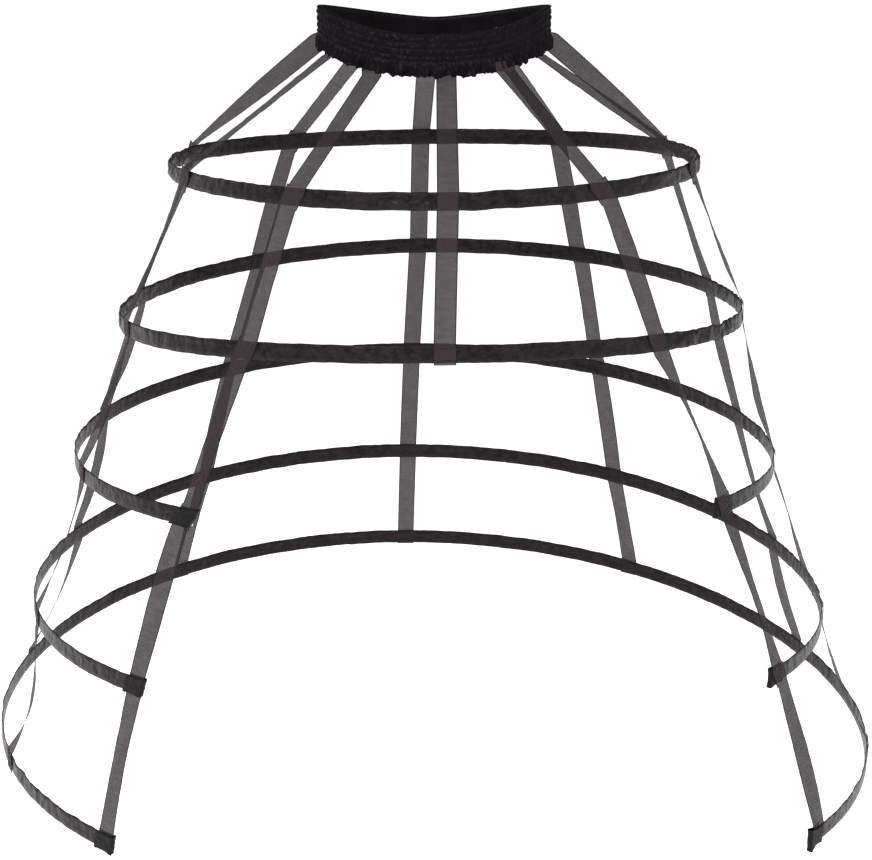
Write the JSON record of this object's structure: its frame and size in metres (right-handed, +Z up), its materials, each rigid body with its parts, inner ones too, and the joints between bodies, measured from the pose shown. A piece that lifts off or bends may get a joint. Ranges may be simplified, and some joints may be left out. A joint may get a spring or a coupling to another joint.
{
  "type": "crinoline cage",
  "caption": "Black crinoline cage: boned hoops growing towards the hem, the lower ones open at the front, hung on sheer ribbon straps from a gathered elastic waistband.",
  "frame": {"origin": "middle of the waist opening, level with the waistband's two upper corners", "axes": "+Z up; the wearer's front faces -Y; +X is to the right when looking at the front"},
  "size_m": [1.1472, 1.0081, 0.9691],
  "materials": {
    "waistband_satin": "shirred black satin, soft sheen",
    "casing_satin": "black satin tape, slightly puckered",
    "patch_satin": "doubled black satin",
    "organza": "sheer black organza ribbon with woven edges",
    "elastic": "woven black elastic",
    "spring_steel": "flat spring steel",
    "sleeve_steel": "crimped tin-plated sleeve",
    "tip_plastic": "dipped white plastic"
  },
  "bodies": {
    "root": {"waistband_cover": "waistband_satin", "waistband_elastic": "elastic", "hoop_1_casing": "casing_satin", "hoop_1_bone": "spring_steel", "hoop_1_joining_sleeve": "sleeve_steel", "hoop_2_casing": "casing_satin", "hoop_2_bone": "spring_steel", "hoop_2_joining_sleeve": "sleeve_steel", "hoop_3_casing": "casing_satin", "hoop_3_bone": "spring_steel", "hoop_3_tip_left": "tip_plastic", "hoop_3_end_patch_left": "patch_satin", "hoop_3_tip_right": "tip_plastic", "hoop_3_end_patch_right": "patch_satin", "hoop_4_casing": "casing_satin", "hoop_4_bone": "spring_steel", "hoop_4_tip_left": "tip_plastic", "hoop_4_end_patch_left": "patch_satin", "hoop_4_tip_right": "tip_plastic", "hoop_4_end_patch_right": "patch_satin", "hoop_5_casing": "casing_satin", "hoop_5_bone": "spring_steel", "hoop_5_tip_left": "tip_plastic", "hoop_5_end_patch_left": "patch_satin", "hoop_5_tip_right": "tip_plastic", "hoop_5_end_patch_right": "patch_satin", "strap_front_centre": "organza", "strap_front_left": "organza", "strap_front_right": "organza", "strap_side_front_left": "organza", "strap_side_front_right": "organza", "strap_side_back_left": "organza", "strap_side_back_right": "organza", "strap_back_left": "organza", "strap_back_right": "organza", "strap_back_centre": "organza"}
  },
  "joints": []
}
